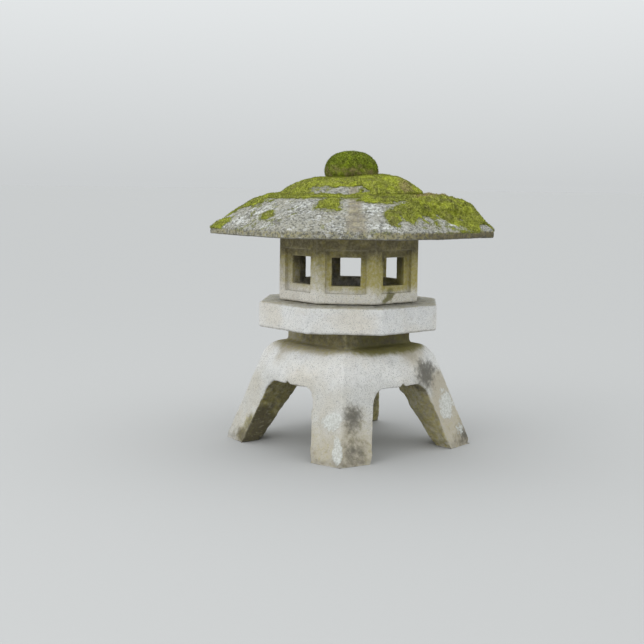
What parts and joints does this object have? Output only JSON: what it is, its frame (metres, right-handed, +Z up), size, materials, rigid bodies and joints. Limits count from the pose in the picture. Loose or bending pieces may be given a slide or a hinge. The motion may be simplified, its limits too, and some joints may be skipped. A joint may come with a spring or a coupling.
{
  "type": "stone garden lantern",
  "caption": "Low snow-viewing garden lantern of stacked granite: arched splayed legs, octagonal platform, windowed firebox, broad roof and domed jewel, grown over with moss.",
  "frame": {"origin": "middle of the ground under the feet", "axes": "+Z up through the jewel; -Y the front, over one leg; legs at -Y, +X, +Y and -X"},
  "size_m": [0.909, 0.909, 0.98],
  "materials": {
    "granite_legs": "weathered granite, tooled in the arches, with lichen and algae",
    "granite_platform": "pale weathered granite",
    "granite_firebox": "warm weathered granite with algae stains round the windows",
    "granite_roof": "weathered granite, thickly speckled with lichen",
    "granite_jewel": "weathered granite, olive with algae",
    "moss": "living cushion moss",
    "lead": "dull lead sheet",
    "clay": "plain fired clay",
    "wax": "soft candle wax",
    "cotton": "charred cotton"
  },
  "bodies": {
    "base": {"leg_stone": "granite_legs", "neck_shim_front": "lead", "neck_shim_right": "lead", "neck_shim_back": "lead", "neck_shim_left": "lead"},
    "platform": {"platform_stone": "granite_platform", "firebox_shim_front": "lead", "firebox_shim_right": "lead", "firebox_shim_back": "lead", "firebox_shim_left": "lead"},
    "lamp": {"lamp_saucer": "clay", "candle": "wax", "candle_wick": "cotton"},
    "firebox": {"firebox_stone": "granite_firebox", "roof_shim_front": "lead", "roof_shim_right": "lead", "roof_shim_back": "lead", "roof_shim_left": "lead"},
    "roof": {"roof_stone": "granite_roof", "moss_crown": "moss", "moss_slope": "moss"},
    "jewel": {"jewel_stone": "granite_jewel", "moss_cap": "moss"}
  },
  "joints": [
    {"name": "platform_lift", "type": "slide", "parent": "base", "child": "platform", "axis": [0, 0, 1], "range_m": [0, 0.1]},
    {"name": "lamp_lift", "type": "slide", "parent": "platform", "child": "lamp", "axis": [0, 0, 1], "range_m": [0, 0.06]},
    {"name": "firebox_lift", "type": "slide", "parent": "platform", "child": "firebox", "axis": [0, 0, 1], "range_m": [0, 0.15]},
    {"name": "roof_lift", "type": "slide", "parent": "firebox", "child": "roof", "axis": [0, 0, 1], "range_m": [0, 0.15]},
    {"name": "jewel_lift", "type": "slide", "parent": "roof", "child": "jewel", "axis": [0, 0, 1], "range_m": [0, 0.12]}
  ]
}
